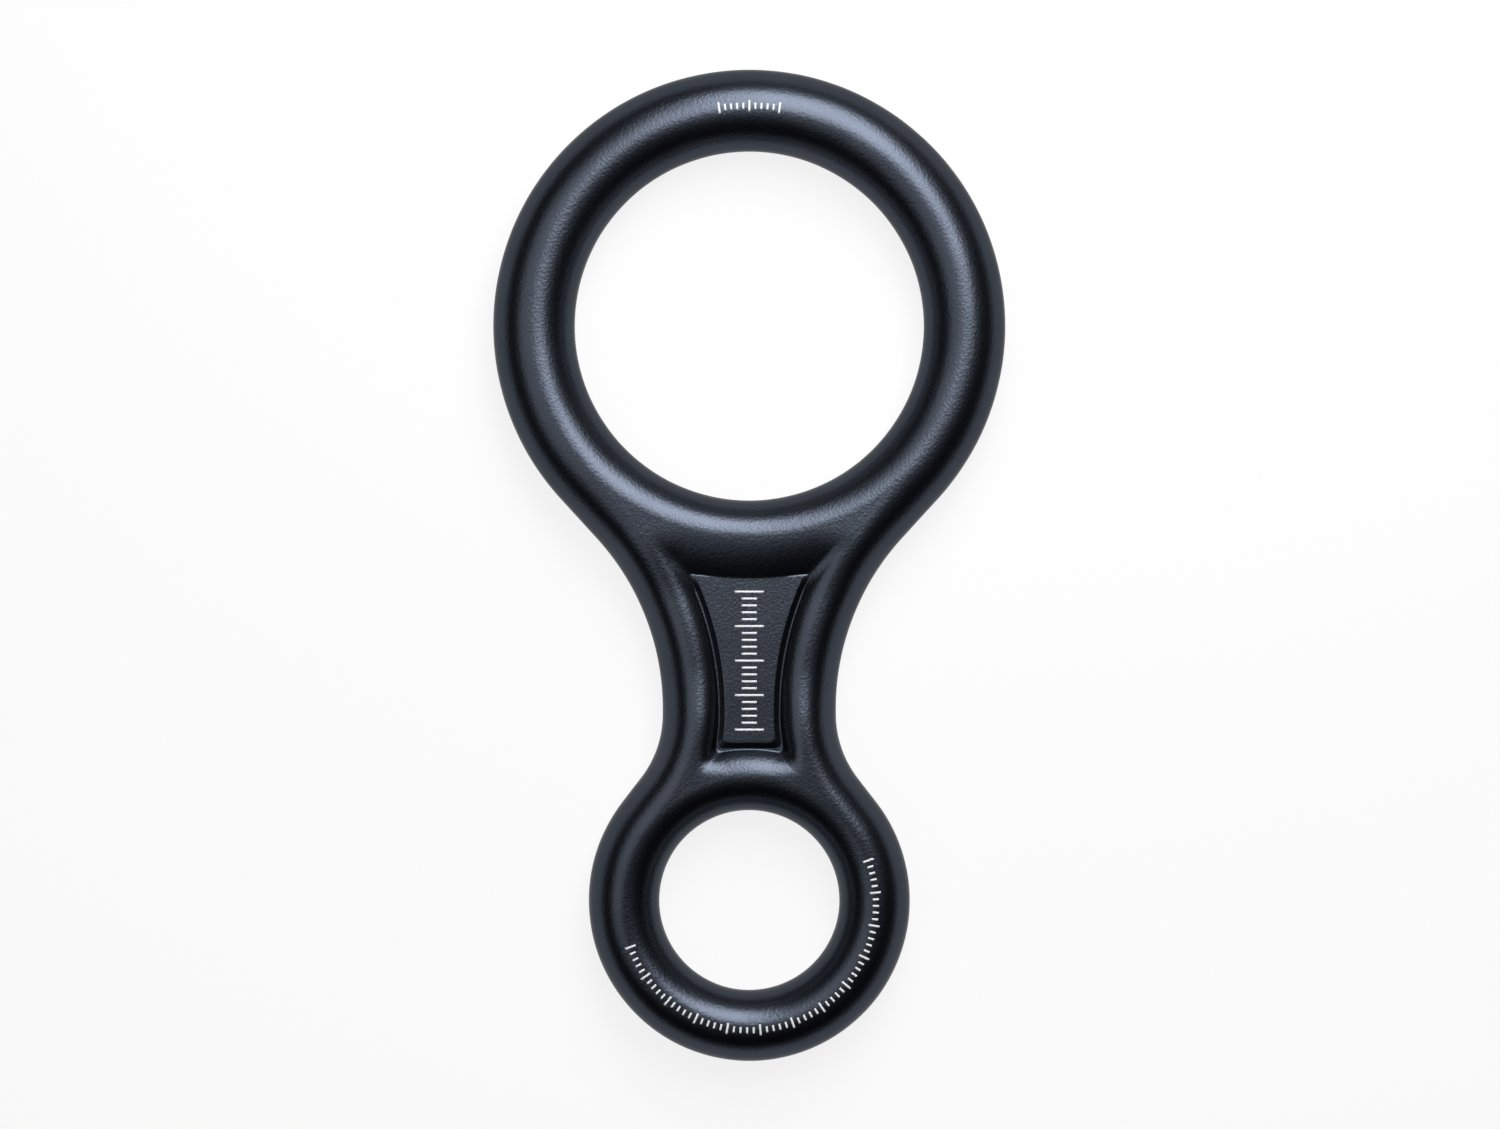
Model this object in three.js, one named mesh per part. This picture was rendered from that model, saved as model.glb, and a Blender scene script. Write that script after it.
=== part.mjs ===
// Figure eight descender: one hot-forged aluminium body with a large rope eye, a small
// karabiner eye and a waisted neck between them. The neck has a rounded rib along each
// side and, on both faces, a pocket with a raised flat pad in it.
// Millimetres, +Z up. The body lies flat, the large eye towards +Y. The origin is at the
// centre of its length and width, on the surface that it lies on.

import * as THREE from 'three';

// Rings
const bigRingDiameter = 74.8;
const bigEyeDiameter = 51.0;
const smallRingDiameter = 46.9;
const smallEyeDiameter = 26.3;
const eyeSpacing = 83.9;
const bodyThickness = 11.9;

// Outline of the neck
const waistWidth = 25.3;
const waistLength = 0.7;
const upperNeckRadius = 37.0;
const lowerNeckRadius = 15.4;
// How far down the gap between the two rings the waist lies
const waistShare = 0.82;

// Ribs of the neck
const ribThickness = 10.6;
const ribCrestInset = 5.1;
// The stretch of the neck, at each end, in which a rib takes on the ring's section, and the
// part of it in which the rib stays as high as the ring
const ribBlendShare = 0.42;
const ribHoldShare = 0.22;
// A ring's round is a quarter of an ellipse, whose powers are 2. More flattens a rib's crown,
// and less straightens its flank.
const ellipsePower = 2;
const ribCrownPower = 2.2;
const ribFlankPower = 1.5;

// Pocket in each face of the neck
const webThickness = 8.0;
const ribWallRun = 3.1;
const bigRingWallRun = 7.1;
const smallRingWallRun = 3.95;
const footFillet = 0.12;
const gutterWidth = 0.15;
// How far two walls blend where they meet in a corner, as a share of their runs
const cornerBlendShare = 0.4;
// The pocket opens between these two sums of the ways to a ring's crest and to a rib's
const cornerStart = 3.0;
const cornerEnd = 7.5;
// How far the big ring's crest moves in towards its eye, over the middle of the pocket
const bigRootShift = 0.75;

// Pad raised on the pocket's floor. Its top edge runs out against the big ring's wall.
const padRise = 0.5;
const padBevel = 0.75;
const padTopRun = 6.15;
const padTopBevel = 0.15;
const padTopArcRadius = 80.0;
const padTopCornerRadius = 0.7;
const padEndCornerRadius = 1.3;
// The most of a side that one of its rounded corners may take
const cornerTrimShare = 1 / 3;

// Steps of the surface
const bigArcSteps = 25;
const neckSteps = 26;
const smallArcSteps = 17;
const bigRootSteps = 22;
const smallRootSteps = 16;
const bigCornerRungs = 7;
const smallCornerRungs = 5;
const roundRows = 6;
const pocketRows = 8;
// How far from the pad's ends the middle line of its face stops
const spineShare = 0.25;
const crestSteps = 96;
const searchSteps = 40;

// Worked out from the sizes above
const bigRadius = bigRingDiameter / 2;
const bigEyeRadius = bigEyeDiameter / 2;
const smallRadius = smallRingDiameter / 2;
const smallEyeRadius = smallEyeDiameter / 2;
const waistHalf = waistWidth / 2;
const midHeight = bodyThickness / 2;
const ringSpan = bigRadius + eyeSpacing + smallRadius;
const bigCentre = new THREE.Vector2(0, ringSpan / 2 - bigRadius);
const smallCentre = new THREE.Vector2(0, smallRadius - ringSpan / 2);
const ringGap = eyeSpacing - bigRadius - smallRadius;
const waistY = bigCentre.y - bigRadius - ringGap * waistShare;
const bigCrestInset = (bigRadius - bigEyeRadius) / 2;
const smallCrestInset = (smallRadius - smallEyeRadius) / 2;
const bigCrestRadius = bigRadius - bigCrestInset;
const smallCrestRadius = smallRadius - smallCrestInset;
const floorHeight = webThickness / 2;
const padHeight = floorHeight + padRise;
const padTopY = bigCentre.y - bigCrestRadius + bigRootShift - padTopRun;
const padTopCentre = new THREE.Vector2(0, padTopY + padTopArcRadius);

const DOWN = -Math.PI / 2;
const UP = Math.PI / 2;

// A point at an angle on a circle, the angle counted from +X.
function onCircle(centre, radius, angle) {
  return new THREE.Vector2(Math.cos(angle), Math.sin(angle)).multiplyScalar(radius).add(centre);
}

// The concave arc and the straight run that lead from a ring's circle to the waist, on the
// +X side. side is 1 where the neck hangs below the ring and -1 where it rises above it.
function flare(centre, ringRadius, wantedRadius, endY, side) {
  const drop = Math.abs(centre.y - endY);
  const widestRadius =
    (waistHalf ** 2 + drop ** 2 - ringRadius ** 2) / (2 * (ringRadius - waistHalf));
  const radius = Math.min(wantedRadius, widestRadius);
  const arcCentre = new THREE.Vector2(waistHalf + radius, endY);
  const reach = Math.hypot(arcCentre.x, drop);
  const lean = Math.acos(Math.min(1, (ringRadius + radius) / reach));
  const turn = Math.atan2(arcCentre.x, drop) + lean;
  const angle = side > 0 ? DOWN + turn : UP - turn;
  const leave = onCircle(centre, ringRadius, angle);
  const meet = onCircle(arcCentre, radius, angle + Math.PI);
  return { angle, leave, meet, arcCentre, radius };
}

// The neck's outline on the +X side, from the big ring down to the small one.
function neckOutline(upper, lower) {
  const path = new THREE.CurvePath();
  const waistTop = new THREE.Vector2(waistHalf, upper.arcCentre.y);
  const waistEnd = new THREE.Vector2(waistHalf, lower.arcCentre.y);
  const arc = (flareOf, from, to) =>
    new THREE.EllipseCurve(
      flareOf.arcCentre.x, flareOf.arcCentre.y, flareOf.radius, flareOf.radius, from, to, false);
  path.add(new THREE.LineCurve(upper.leave, upper.meet));
  path.add(arc(upper, upper.angle + Math.PI, Math.PI));
  path.add(new THREE.LineCurve(waistTop, waistEnd));
  path.add(arc(lower, Math.PI, lower.angle + Math.PI));
  path.add(new THREE.LineCurve(lower.meet, lower.leave));
  return path;
}

const upperFlare = flare(
  bigCentre, bigRadius, upperNeckRadius, waistY + waistLength / 2, 1);
const lowerFlare = flare(
  smallCentre, smallRadius, lowerNeckRadius, waistY - waistLength / 2, -1);
const neck = neckOutline(upperFlare, lowerFlare);

// A point inside the neck's outline, square to it, at a share of its length.
function insideNeck(share, inset) {
  const tangent = neck.getTangent(share);
  const inward = new THREE.Vector2(tangent.y, -tangent.x);
  return neck.getPoint(share).addScaledVector(inward, inset);
}

// A value that is the big ring's at the neck's top, the small ring's at its bottom and
// the rib's own between. Each ring's value holds for a share of the neck's length.
function alongNeck(share, atBig, atRib, atSmall, holdShare = 0) {
  const leaving = THREE.MathUtils.smoothstep(share, holdShare, ribBlendShare);
  const arriving = THREE.MathUtils.smoothstep(share, 1 - ribBlendShare, 1 - holdShare);
  return THREE.MathUtils.lerp(THREE.MathUtils.lerp(atBig, atRib, leaving), atSmall, arriving);
}

// A plan point of the upper half of the body, at a height over its mid-plane.
function raised(plan, height) {
  return new THREE.Vector3(plan.x, plan.y, midHeight + height);
}

// The radius of the big ring's crest at a plan point: less where it faces the neck.
function bigRootRadius(x, y) {
  const turned = Math.abs(Math.atan2(x, bigCentre.y - y));
  const facing = 1 - THREE.MathUtils.smoothstep(turned, 0, upperFlare.angle - DOWN);
  return bigCrestRadius - bigRootShift * facing;
}

// The top of a rib at a share of the neck's length.
function ribCrest(share) {
  const inset = alongNeck(share, bigCrestInset, ribCrestInset, smallCrestInset);
  const height = alongNeck(share, midHeight, ribThickness / 2, midHeight, ribHoldShare);
  return raised(insideNeck(share, inset), height);
}

// The +X rib's crest as a fine line, for distances.
const ribCrestLine = Array.from({ length: crestSteps + 1 }, (_, i) => ribCrest(i / crestSteps));

// The distance in plan from a point to the +X rib's crest, and the crest's height there.
function nearestOnRib(x, y) {
  let nearest = { distance: Infinity, height: 0 };
  for (let i = 0; i < crestSteps; i++) {
    const start = ribCrestLine[i];
    const end = ribCrestLine[i + 1];
    const runX = end.x - start.x;
    const runY = end.y - start.y;
    const along = ((x - start.x) * runX + (y - start.y) * runY) / (runX ** 2 + runY ** 2);
    const held = THREE.MathUtils.clamp(along, 0, 1);
    const distance = Math.hypot(x - start.x - runX * held, y - start.y - runY * held);
    if (distance < nearest.distance) {
      nearest = { distance, height: THREE.MathUtils.lerp(start.z, end.z, held) - midHeight };
    }
  }
  return nearest;
}

// What share of its height a wall still has at a distance from its crest. The crest rolls
// over in one arc and the foot runs out in another.
function wallShare(distance, run, fullDrop) {
  if (distance <= 0 || fullDrop <= 0) return 1;
  if (distance >= run) return 0;
  const drop = Math.min(fullDrop, run);
  const steepest = 2 * Math.atan2(drop, run);
  const radii = run / Math.sin(steepest);
  const foot = Math.min(footFillet, radii / 2);
  const crown = radii - foot;
  const fallen = distance < crown * Math.sin(steepest)
    ? crown - Math.sqrt(crown ** 2 - distance ** 2)
    : drop - foot + Math.sqrt(foot ** 2 - (run - distance) ** 2);
  return 1 - fallen / drop;
}

// The lesser of two shares, eased where they are nearly the same.
function easedMin(a, b) {
  const overlap = Math.max(cornerBlendShare - Math.abs(a - b), 0);
  return Math.min(a, b) - overlap ** 2 / (4 * cornerBlendShare);
}

// The walls round the pocket as seen from a plan point: the distance to each one's crest,
// that crest's height and the wall's run.
function wallsFrom(x, y) {
  const fromBig = Math.hypot(x, y - bigCentre.y) - bigRootRadius(x, y);
  const fromSmall = Math.hypot(x, y - smallCentre.y) - smallCrestRadius;
  const rings = [
    { distance: Math.max(fromBig, 0), height: midHeight, run: bigRingWallRun },
    { distance: Math.max(fromSmall, 0), height: midHeight, run: smallRingWallRun },
  ];
  const ribs = [nearestOnRib(x, y), nearestOnRib(-x, y)];
  return { rings, ribs: ribs.map((place) => ({ ...place, run: ribWallRun })) };
}

// The pocket's height over the mid-plane at a plan point. The nearest wall gives it, and two
// walls share in it where they meet in a corner. The corner's tip is filled.
function pocketHeight(x, y) {
  const { rings, ribs } = wallsFrom(x, y);
  const walls = [...rings, ...ribs];
  const ways = walls.map(({ distance, run }) => distance / run);
  const nearest = Math.min(...ways);
  const weights = ways.map((way) => Math.max(1 - (way - nearest) / cornerBlendShare, 0) ** 2);
  const total = (values) => values.reduce((sum, value) => sum + value, 0);
  const shared = (values) => total(values.map((value, i) => value * weights[i])) / total(weights);
  const run = shared(walls.map((wall) => wall.run));
  const crestHeight = shared(walls.map((wall) => wall.height));
  const drop = crestHeight - floorHeight;
  const opened = rings.flatMap((ring) => ribs.map((rib) =>
    THREE.MathUtils.smoothstep(ring.distance + rib.distance, cornerStart, cornerEnd)));
  const fallen = 1 - wallShare(ways.reduce(easedMin) * run, run, drop);
  return crestHeight - drop * opened.reduce((product, share) => product * share, fallen);
}

// The share of the neck's length at which a line inside its outline passes a test.
function shareWhere(inset, passed) {
  let low = 0;
  let high = 1;
  for (let i = 0; i < searchSteps; i++) {
    const middle = (low + high) / 2;
    if (passed(insideNeck(middle, inset))) high = middle;
    else low = middle;
  }
  return high;
}

// The four sides of the pad in plan, clockwise from its upper +X corner, at a share of the
// way from its foot in the pocket up to its face.
function padSides(riseShare) {
  const inset = gutterWidth + padBevel * riseShare;
  const sideInset = ribCrestInset + ribWallRun + inset;
  const bottomY = smallCentre.y + smallCrestRadius + smallRingWallRun + inset;
  const topRadius = padTopArcRadius - padTopBevel * (1 - riseShare);
  const from = shareWhere(sideInset, (p) => p.distanceTo(padTopCentre) > topRadius);
  const to = shareWhere(sideInset, (p) => p.y < bottomY);
  const right = (u) => insideNeck(THREE.MathUtils.lerp(from, to, u), sideInset);
  const left = (u) => right(1 - u).multiply(new THREE.Vector2(-1, 1));
  const bottom = (u) => right(1).lerp(left(0), u);
  const spread = Math.asin(right(0).x / topRadius);
  const top = (u) => onCircle(padTopCentre, topRadius, DOWN + spread * (2 * u - 1));
  return [right, bottom, left, top];
}

// The pad's outline as one ring of plan points, from the middle of one rounded corner to
// the next with the given steps to a side. A side's first and last step are its corners.
function padRing(riseShare, stepsPerSide) {
  const sides = padSides(riseShare);
  const radii = [padTopCornerRadius, padEndCornerRadius, padEndCornerRadius, padTopCornerRadius];
  const trim = (side, radius) => Math.min(radius / side(0).distanceTo(side(1)), cornerTrimShare);
  return sides.flatMap((side, i) => {
    const last = (i + sides.length - 1) % sides.length;
    const next = (i + 1) % sides.length;
    const start = trim(side, radii[i]);
    const end = 1 - trim(side, radii[next]);
    const corner = new THREE.QuadraticBezierCurve(
      sides[last](1 - trim(sides[last], radii[i])), side(0), side(start));
    const straightSteps = stepsPerSide[i] - 2;
    const straight = Array.from({ length: straightSteps + 1 }, (_, j) =>
      side(THREE.MathUtils.lerp(start, end, j / straightSteps)));
    return [corner.getPoint(1 / 2), ...straight];
  });
}

// Points from an edge on the mid-plane up a quarter round to a crest.
function quarterRound(edge, crest, crownPower = ellipsePower, flankPower = ellipsePower) {
  const points = [raised(edge, 0)];
  for (let i = 1; i < roundRows; i++) {
    const swing = (i / roundRows) * UP;
    const out = Math.cos(swing) ** (ellipsePower / crownPower);
    const rise = Math.sin(swing) ** (ellipsePower / flankPower);
    const plan = new THREE.Vector2(crest.x, crest.y).lerp(edge, out);
    points.push(raised(plan, (crest.z - midHeight) * rise));
  }
  points.push(crest);
  return points;
}

// A point of the pocket's surface.
function inPocket(plan) {
  return raised(plan, pocketHeight(plan.x, plan.y));
}

// Points from the pocket's edge down its wall and along its floor to the pad's foot.
function pocketSpoke(point, foot) {
  const points = [point];
  for (let i = 1; i < pocketRows; i++) {
    points.push(inPocket(new THREE.Vector2(point.x, point.y).lerp(foot, i / pocketRows)));
  }
  points.push(inPocket(foot));
  return points;
}

// The narrow corner where a rib leaves a ring, bridged by rungs from one crest to the other.
// The middle of the last rung is given back, for the pocket's edge.
function addCorner(skin, before, after, rungs) {
  let lastRung = [after[0], after[0], after[0]];
  for (let i = 1; i <= rungs; i++) {
    const start = before[before.length - 1 - i];
    const end = after[i];
    const plan = new THREE.Vector2(start.x + end.x, start.y + end.y).divideScalar(2);
    const rung = [start, inPocket(plan), end];
    for (let j = 0; j + 1 < rung.length; j++) {
      skin.quad(rung[j], rung[j + 1], lastRung[j + 1], lastRung[j]);
    }
    lastRung = rung;
  }
  return lastRung[1];
}

// A crest point of a ring at an angle.
function ringCrest(centre, radius, angle) {
  return raised(onCircle(centre, radius, angle), midHeight);
}

// Stations round a ring on the +X side: where the outline is, and the crest inside it.
function ringStations(centre, radius, crestRadius, fromAngle, toAngle, first, last, steps) {
  const stations = [];
  for (let i = first; i <= last; i++) {
    const angle = THREE.MathUtils.lerp(fromAngle, toAngle, i / steps);
    const edge = onCircle(centre, radius, angle);
    stations.push({ edge, crest: ringCrest(centre, crestRadius, angle) });
  }
  return stations;
}

// Stations down the rib on the +X side, with the powers of its outer round.
function ribStations() {
  return Array.from({ length: neckSteps + 1 }, (_, i) => {
    const share = i / neckSteps;
    return {
      edge: neck.getPoint(share),
      crest: ribCrest(share),
      crownPower: alongNeck(share, ellipsePower, ribCrownPower, ellipsePower),
      flankPower: alongNeck(share, ellipsePower, ribFlankPower, ellipsePower),
    };
  });
}

// The same stations on the -X side.
function otherSide(stations) {
  return stations.map((station) => ({
    ...station,
    edge: new THREE.Vector2(-station.edge.x, station.edge.y),
    crest: new THREE.Vector3(-station.crest.x, station.crest.y, station.crest.z),
  }));
}

// Crests across a ring where it faces the neck, without the two ends. The crest's circle may
// be drawn in to another radius at each point.
function rootCrests(centre, radius, drawnRadius, fromAngle, toAngle, steps) {
  const crests = [];
  for (let i = 1; i < steps; i++) {
    const angle = THREE.MathUtils.lerp(fromAngle, toAngle, i / steps);
    const plan = onCircle(centre, radius, angle);
    crests.push(ringCrest(centre, drawnRadius(plan.x, plan.y), angle));
  }
  return crests;
}

// Collects triangles of the upper half and repeats each one, mirrored, below the mid-plane.
class HalfSkin {
  constructor() {
    this.numbers = new Map();
    this.mirrored = new Map();
    this.positions = [];
    this.index = [];
  }

  number(point) {
    if (!this.numbers.has(point)) {
      this.numbers.set(point, this.numbers.size);
      this.positions.push(point.x, point.y, point.z);
    }
    return this.numbers.get(point);
  }

  below(point) {
    if (point.z === midHeight) return point;
    if (!this.mirrored.has(point)) {
      this.mirrored.set(point, new THREE.Vector3(point.x, point.y, bodyThickness - point.z));
    }
    return this.mirrored.get(point);
  }

  triangle(a, b, c) {
    if (a === b || b === c || c === a) return;
    this.index.push(...[a, b, c].map((point) => this.number(point)));
    this.index.push(...[a, c, b].map((point) => this.number(this.below(point))));
  }

  quad(a, b, c, d) {
    if (a.distanceTo(c) < b.distanceTo(d)) {
      this.triangle(a, b, c);
      this.triangle(a, c, d);
    } else {
      this.triangle(a, b, d);
      this.triangle(b, c, d);
    }
  }

  // A closed ring of columns of points. Seen from above, each column runs to the right of
  // the way round.
  band(columns) {
    columns.forEach((column, i) => {
      const next = columns[(i + 1) % columns.length];
      for (let j = 0; j + 1 < column.length; j++) {
        this.quad(next[j], column[j], column[j + 1], next[j + 1]);
      }
    });
  }

  geometry() {
    const made = new THREE.BufferGeometry();
    made.setAttribute('position', new THREE.Float32BufferAttribute(this.positions, 3));
    made.setIndex(this.index);
    made.computeVertexNormals();
    return made;
  }
}

// The pad's bevelled side and its flat face. The face is joined to a middle line.
function addPad(skin, footPoints, stepsPerSide) {
  const [sideSteps, endSteps] = stepsPerSide;
  const face = padRing(1, stepsPerSide).map((plan) => raised(plan, padHeight));
  skin.band(footPoints.map((foot, i) => [foot, face[i]]));
  const topY = face[0].y;
  const endY = face[sideSteps].y;
  const spine = [];
  for (let i = 0; i <= sideSteps; i++) {
    const along = THREE.MathUtils.lerp(spineShare, 1 - spineShare, i / sideSteps);
    spine.push(raised(new THREE.Vector2(0, THREE.MathUtils.lerp(topY, endY, along)), padHeight));
  }
  const leftStart = sideSteps + endSteps;
  skin.band(face.map((point, i) => {
    const down = Math.min(i, sideSteps);
    const up = Math.max(0, i - leftStart);
    return [point, spine[Math.max(0, down - up)]];
  }));
}

// The pocket between the crests, with the pad in it. The sides run clockwise from the corner
// where the big ring meets the +X rib, and each has both its ends.
function addPocket(skin, sides) {
  const rungs = [bigCornerRungs, smallCornerRungs, smallCornerRungs, bigCornerRungs];
  const edge = [];
  const stepsPerSide = sides.map((side, i) => {
    const before = sides[(i + sides.length - 1) % sides.length];
    const upTo = side.length - rungs[(i + 1) % rungs.length];
    const crests = side.slice(rungs[i], upTo);
    edge.push(addCorner(skin, before, side, rungs[i]), ...crests);
    return crests.length + 1;
  });
  const foot = padRing(0, stepsPerSide);
  const spokes = edge.map((point, i) => pocketSpoke(point, foot[i]));
  skin.band(spokes);
  addPad(skin, spokes.map((spoke) => spoke[pocketRows]), stepsPerSide);
}

// The whole forged body.
function forgedBodyGeometry() {
  const bigArc = ringStations(
    bigCentre, bigRadius, bigCrestRadius, UP, upperFlare.angle, 0, bigArcSteps - 1, bigArcSteps);
  const rib = ribStations();
  const smallArc = ringStations(
    smallCentre, smallRadius, smallCrestRadius, lowerFlare.angle, DOWN, 1, smallArcSteps, smallArcSteps);
  const bigArcLeft = otherSide(bigArc.slice(1));
  const ribLeft = otherSide(rib);
  const smallArcLeft = otherSide(smallArc.slice(0, -1));

  const skin = new HalfSkin();
  const outline = [
    ...bigArc, ...rib, ...smallArc, ...smallArcLeft.toReversed(), ...ribLeft.toReversed(),
    ...bigArcLeft.toReversed()];
  skin.band(outline.map(({ edge, crest, crownPower, flankPower }) =>
    quarterRound(edge, crest, crownPower, flankPower)));

  const crestsOf = (stations) => stations.map(({ crest }) => crest);
  const bigRoot = rootCrests(
    bigCentre, bigCrestRadius, bigRootRadius, -Math.PI - upperFlare.angle, upperFlare.angle,
    bigRootSteps);
  const smallRoot = rootCrests(
    smallCentre, smallCrestRadius, () => smallCrestRadius, lowerFlare.angle,
    Math.PI - lowerFlare.angle, smallRootSteps);
  const ribCrests = crestsOf(rib);
  const ribCrestsLeft = crestsOf(ribLeft);
  const eyeBand = (crests, centre, radius) => crests.map((crest) => {
    const away = new THREE.Vector2(crest.x, crest.y).sub(centre).setLength(radius);
    return quarterRound(away.add(centre), crest);
  });
  const bigEyeCrests = [
    bigArc[0].crest, ...crestsOf(bigArcLeft), ribCrestsLeft[0], ...bigRoot, ribCrests[0],
    ...crestsOf(bigArc.slice(1)).toReversed()];
  skin.band(eyeBand(bigEyeCrests, bigCentre, bigEyeRadius));
  const smallEyeCrests = [
    ...crestsOf(smallArc).toReversed(), ribCrests[neckSteps], ...smallRoot,
    ribCrestsLeft[neckSteps], ...crestsOf(smallArcLeft)];
  skin.band(eyeBand(smallEyeCrests, smallCentre, smallEyeRadius));

  addPocket(skin, [
    ribCrests, [ribCrests[neckSteps], ...smallRoot, ribCrestsLeft[neckSteps]],
    ribCrestsLeft.toReversed(), [ribCrestsLeft[0], ...bigRoot, ribCrests[0]]]);
  return skin.geometry();
}

const anodised = new THREE.MeshStandardMaterial({
  color: 0x1a2230,
  roughness: 0.42,
  metalness: 0.75,
});

const forgedBody = new THREE.Mesh(forgedBodyGeometry(), anodised);
forgedBody.name = 'forged_body';

const descender = new THREE.Group();
descender.add(forgedBody);

export default descender;
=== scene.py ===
"""Figure eight descender in forged, blue-black anodised aluminium, lying on a pale studio floor.

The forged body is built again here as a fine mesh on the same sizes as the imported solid: the two
rings, the waisted neck with a rib along each side, and the pocket with its pad. A thin white film
carries the scale marks. Lengths are in metres, +Z up, the large eye towards +Y.
"""

import logging
import math
from collections.abc import Sequence
from dataclasses import dataclass, field
from enum import Enum

import bmesh
import bpy
import numpy as np
from mathutils import Matrix, Vector, noise


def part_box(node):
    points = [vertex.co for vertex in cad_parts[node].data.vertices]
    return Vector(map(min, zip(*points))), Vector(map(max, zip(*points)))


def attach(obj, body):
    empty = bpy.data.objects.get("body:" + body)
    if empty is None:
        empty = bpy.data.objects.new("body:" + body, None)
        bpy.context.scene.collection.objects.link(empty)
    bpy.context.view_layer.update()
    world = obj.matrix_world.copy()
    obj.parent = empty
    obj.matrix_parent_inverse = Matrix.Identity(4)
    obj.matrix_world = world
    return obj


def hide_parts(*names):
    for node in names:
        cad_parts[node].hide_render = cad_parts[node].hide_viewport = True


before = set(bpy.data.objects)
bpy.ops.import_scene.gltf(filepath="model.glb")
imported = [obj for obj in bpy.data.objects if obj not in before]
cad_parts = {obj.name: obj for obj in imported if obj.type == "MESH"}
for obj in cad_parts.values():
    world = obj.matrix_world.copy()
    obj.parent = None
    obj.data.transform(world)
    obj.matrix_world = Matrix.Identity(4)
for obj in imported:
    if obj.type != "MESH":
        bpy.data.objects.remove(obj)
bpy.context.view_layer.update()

log = logging.getLogger("descender")

MM = 0.001
DOWN = -math.pi / 2
UP = math.pi / 2
ROOT_BODY = "root"
BODY_NODE = "forged_body"
# Points that lie closer together than this are one point
SAME_PLACE = 0.001 * MM
# What Blender's area lamps ask for: watts for each unit of area and of radiance
AREA_LAMP_FACTOR = 4.0
OPAQUE = 1.0

Array = np.ndarray
Values = Array | float
Span = tuple[float, float]
Colour = tuple[float, float, float]
Mesh = bmesh.types.BMesh
Piece = bpy.types.Object
Point = bmesh.types.BMVert
Socket = bpy.types.NodeSocket

# The range of a share or a mask
WHOLE: Span = (0.0, 1.0)


class Slot(Enum):
    """The record's material slots."""

    ANODISED = "anodised_aluminium"
    MARKING = "white_marking"


class Mask(Enum):
    """The grain's masks, by which a finish varies over the surface."""

    SPECKLE = "Speckle"
    CLOUD = "Cloud"


def mix(low: Values, high: Values, share: Values) -> Array:
    """Blend two arrays of values or points by a share from 0 to 1."""
    return low + (high - low) * share


def smooth_step(value: Array, low: float, high: float) -> Array:
    """Rise from 0 to 1 between two values, level at both ends.

    Args:
        value: The values to turn into shares.
        low: The value where the rise starts.
        high: The value where it ends.

    Returns:
        Shares from 0 to 1.
    """
    held = np.clip((value - low) / (high - low), 0.0, 1.0)
    return held * held * (3.0 - 2.0 * held)


def on_circle(centre_y: float, radius: float, angles: Values) -> Array:
    """Plan points on a circle whose centre lies on the body's middle line.

    Args:
        centre_y: Y of the circle's centre.
        radius: The circle's radius.
        angles: Angles in radians, counted from +X.

    Returns:
        Points of shape (n, 2).
    """
    angles = np.atleast_1d(angles)
    return np.stack([radius * np.cos(angles), centre_y + radius * np.sin(angles)], axis=-1)


def raised(plan: Array, height: Values) -> Array:
    """Lift plan points to their heights.

    Args:
        plan: Points of shape (..., 2).
        height: Heights, one each or one for all.

    Returns:
        Points of shape (..., 3).
    """
    z = np.broadcast_to(np.asarray(height, float), plan.shape[:-1])
    return np.concatenate([plan, z[..., None]], axis=-1)


def nearest_on_line(points: Array, line: Array, heights: Array) -> tuple[Array, Array]:
    """Find the nearest place on a polyline to each point, in plan.

    Args:
        points: Plan points of shape (n, 2).
        line: The polyline's points, of shape (m, 2).
        heights: The polyline's heights, of shape (m,).

    Returns:
        One distance for each point, and the line's height at the nearest place.
    """
    start, run = line[:-1], np.diff(line, axis=0)
    offset = points[:, None, :] - start[None, :, :]
    along = np.clip((offset * run).sum(-1) / (run * run).sum(-1), 0.0, 1.0)
    away = np.linalg.norm(offset - along[..., None] * run, axis=-1)
    rows = np.arange(len(points))
    nearest = away.argmin(axis=1)
    place = nearest + along[rows, nearest]
    return away[rows, nearest], np.interp(place, np.arange(len(line)), heights)


@dataclass(frozen=True)
class Ring:
    """One of the two rings, round an eye."""

    centre_y: float
    outer_radius: float
    eye_radius: float
    half_thickness: float

    @property
    def crest_inset(self) -> float:
        """Distance from the ring's edge in to its crest."""
        return (self.outer_radius - self.eye_radius) / 2

    @property
    def crest_radius(self) -> float:
        """Radius of the circle along the top of the ring."""
        return self.outer_radius - self.crest_inset

    def height_at(self, plan: Array) -> Array:
        """Height of the ring's surface over the mid-plane at plan points on it.

        Args:
            plan: Points of shape (..., 2).

        Returns:
            Heights of shape (...).
        """
        reach = np.hypot(plan[..., 0], plan[..., 1] - self.centre_y) - self.crest_radius
        share = np.clip(reach / self.crest_inset, -1.0, 1.0)
        return self.half_thickness * np.sqrt(1.0 - share * share)


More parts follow.
